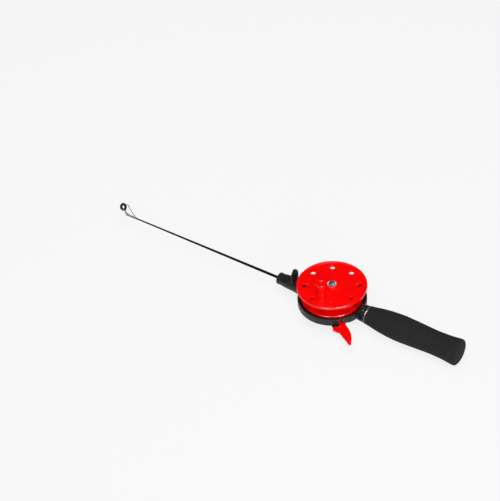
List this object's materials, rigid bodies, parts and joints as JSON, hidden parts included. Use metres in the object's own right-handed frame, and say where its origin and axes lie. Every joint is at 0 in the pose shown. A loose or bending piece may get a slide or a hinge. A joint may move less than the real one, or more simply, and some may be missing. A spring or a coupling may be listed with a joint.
{
  "type": "ice fishing rod",
  "caption": "Short ice-fishing rod with a built-in open spool reel: perforated red spool with a crank knob, black cup frame, finger trigger, foam grip, slim blank and ring tip-top.",
  "frame": {"origin": "on the spool's axis, in the plane the rod lies on: the middle of the flat boss of the back cover", "axes": "+X along the rod from the tip to the butt of the grip, +Z along the spool's axis out of its open face, -Y the side of the trigger"},
  "size_m": [0.4142, 0.0799, 0.0545],
  "materials": {
    "red_plastic": "gloss",
    "black_plastic": "satin",
    "grey_plastic": "satin",
    "foam": "matte",
    "blank": "gloss",
    "dark_ring": "gloss",
    "steel": "satin",
    "bright_steel": "polished",
    "grey_metal": "satin",
    "brass": "satin",
    "felt": "matte"
  },
  "bodies": {
    "frame": {"reel_frame": "black_plastic", "line_guide": "black_plastic", "guide_ring": "dark_ring", "back_cover": "black_plastic", "axle": "steel", "axle_nut": "steel", "thrust_washer": "steel", "centre_washer": "bright_steel", "centre_screw": "bright_steel", "grip_collar": "grey_plastic", "foam_grip": "foam", "rod_blank": "blank", "tip_tube": "grey_metal", "tip_wire": "grey_metal", "tip_ring": "dark_ring", "trigger_pin": "red_plastic", "return_spring": "steel", "cover_screw_1": "steel", "cover_screw_2": "steel", "cover_screw_3": "steel"},
    "spool": {"spool_flange": "red_plastic", "spool_drum": "red_plastic", "spool_bushing": "brass", "knob_pin": "steel"},
    "knob": {"crank_knob": "red_plastic"},
    "trigger": {"trigger_lever": "red_plastic", "brake_pad": "felt"}
  },
  "joints": [
    {"name": "spool_spin", "type": "hinge", "parent": "frame", "child": "spool", "pos_m": [0, 0, 0.025], "axis": [0, 0, 1], "continuous": true},
    {"name": "knob_spin", "type": "hinge", "parent": "spool", "child": "knob", "pos_m": [0.00213, -0.0221, 0.043], "axis": [0, 0, 1], "continuous": true},
    {"name": "trigger_squeeze", "type": "hinge", "parent": "frame", "child": "trigger", "pos_m": [0.0248, -0.0323, 0.0115], "axis": [0, 0, 1], "range_deg": [0, 10], "stiffness_Nm_per_rad": 0.2, "springref_deg": -5.73, "deforming": ["return_spring"]}
  ]
}
